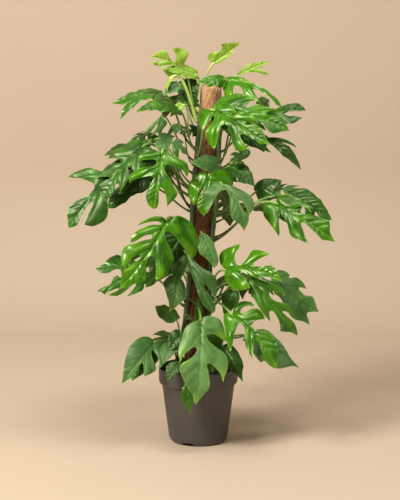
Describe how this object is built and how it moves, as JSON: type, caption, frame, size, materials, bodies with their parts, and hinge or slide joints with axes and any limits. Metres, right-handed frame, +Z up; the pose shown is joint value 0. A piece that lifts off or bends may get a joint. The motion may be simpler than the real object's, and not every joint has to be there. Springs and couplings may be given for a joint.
{
  "type": "potted mini monstera climbing a coir pole",
  "caption": "Mini monstera house plant with split leaves on long stalks, climbing a leaning coir pole in a dark plastic nursery pot filled with soil.",
  "frame": {"origin": "centre of the pot's flat base, on the surface it stands on", "axes": "+Z up along the pot's axis; -Y is the plant's front; +X to the right seen from the front"},
  "size_m": [0.6122, 0.4464, 0.9464],
  "materials": {
    "pot": "matt dark warm grey, faintly moulded",
    "soil": "loose dark brown potting mix with bark crumbs",
    "coir": "matted reddish brown coir fibre",
    "stake": "plain light wood, end grain showing",
    "stem": "grey green stems with woody brown stretches",
    "leaf_lime": "young lime green leaf, glossy",
    "leaf_bright": "bright green leaf, glossy",
    "leaf_mid": "mid green leaf, glossy",
    "leaf_dark": "dark green leaf, glossy",
    "leaf_grey": "mature leaf with a soft blue green sheen"
  },
  "bodies": {
    "root": {"pot": "pot", "stake": "stake", "coir_pole": "coir", "vine_a": "stem", "vine_b": "stem", "vine_c": "stem", "vine_d": "stem", "soil": "soil", "leaf_front_big": "leaf_bright", "leaf_over_pot": "leaf_grey", "leaf_right_shoulder": "leaf_bright", "leaf_right_hand": "leaf_bright", "leaf_centre_left": "leaf_bright", "leaf_left_far": "leaf_mid", "leaf_right_glossy": "leaf_bright", "leaf_right_hanging": "leaf_mid", "leaf_low_right": "leaf_bright", "leaf_low_left": "leaf_grey", "leaf_centre_grey": "leaf_grey", "leaf_collar_bright": "leaf_bright", "leaf_collar_grey": "leaf_grey", "leaf_collar_band": "leaf_grey", "leaf_collar_dark": "leaf_dark", "leaf_crown_lime": "leaf_lime", "leaf_crown_new": "leaf_lime", "leaf_crown_drop": "leaf_lime", "leaf_crown_right": "leaf_bright", "leaf_crown_blades": "leaf_lime", "leaf_crown_back": "leaf_mid", "leaf_crown_left": "leaf_mid", "leaf_left_shelf": "leaf_bright", "leaf_left_under": "leaf_grey", "leaf_left_top": "leaf_dark", "leaf_left_outer": "leaf_mid", "leaf_left_below": "leaf_dark", "leaf_left_behind": "leaf_grey", "leaf_collar_right": "leaf_dark", "leaf_right_pale": "leaf_grey", "leaf_right_dark": "leaf_dark", "leaf_right_top": "leaf_bright", "leaf_right_inner": "leaf_dark", "leaf_right_thin": "leaf_dark", "leaf_right_small": "leaf_lime", "leaf_left_lobed": "leaf_dark", "leaf_centre_behind": "leaf_grey", "leaf_low_young": "leaf_mid", "leaf_centre_right": "leaf_grey", "leaf_right_wide": "leaf_grey", "leaf_low_right_behind": "leaf_grey", "leaf_low_back": "leaf_mid", "leaf_low_inner": "leaf_grey", "leaf_rim_left": "leaf_mid", "leaf_rim_front": "leaf_mid", "leaf_rim_right": "leaf_dark", "leaf_back_top_left": "leaf_mid", "leaf_back_top_right": "leaf_bright", "leaf_back_mid_left": "leaf_dark", "leaf_back_mid_right": "leaf_mid", "leaf_back_low_left": "leaf_bright", "leaf_back_low_right": "leaf_mid"}
  },
  "joints": []
}
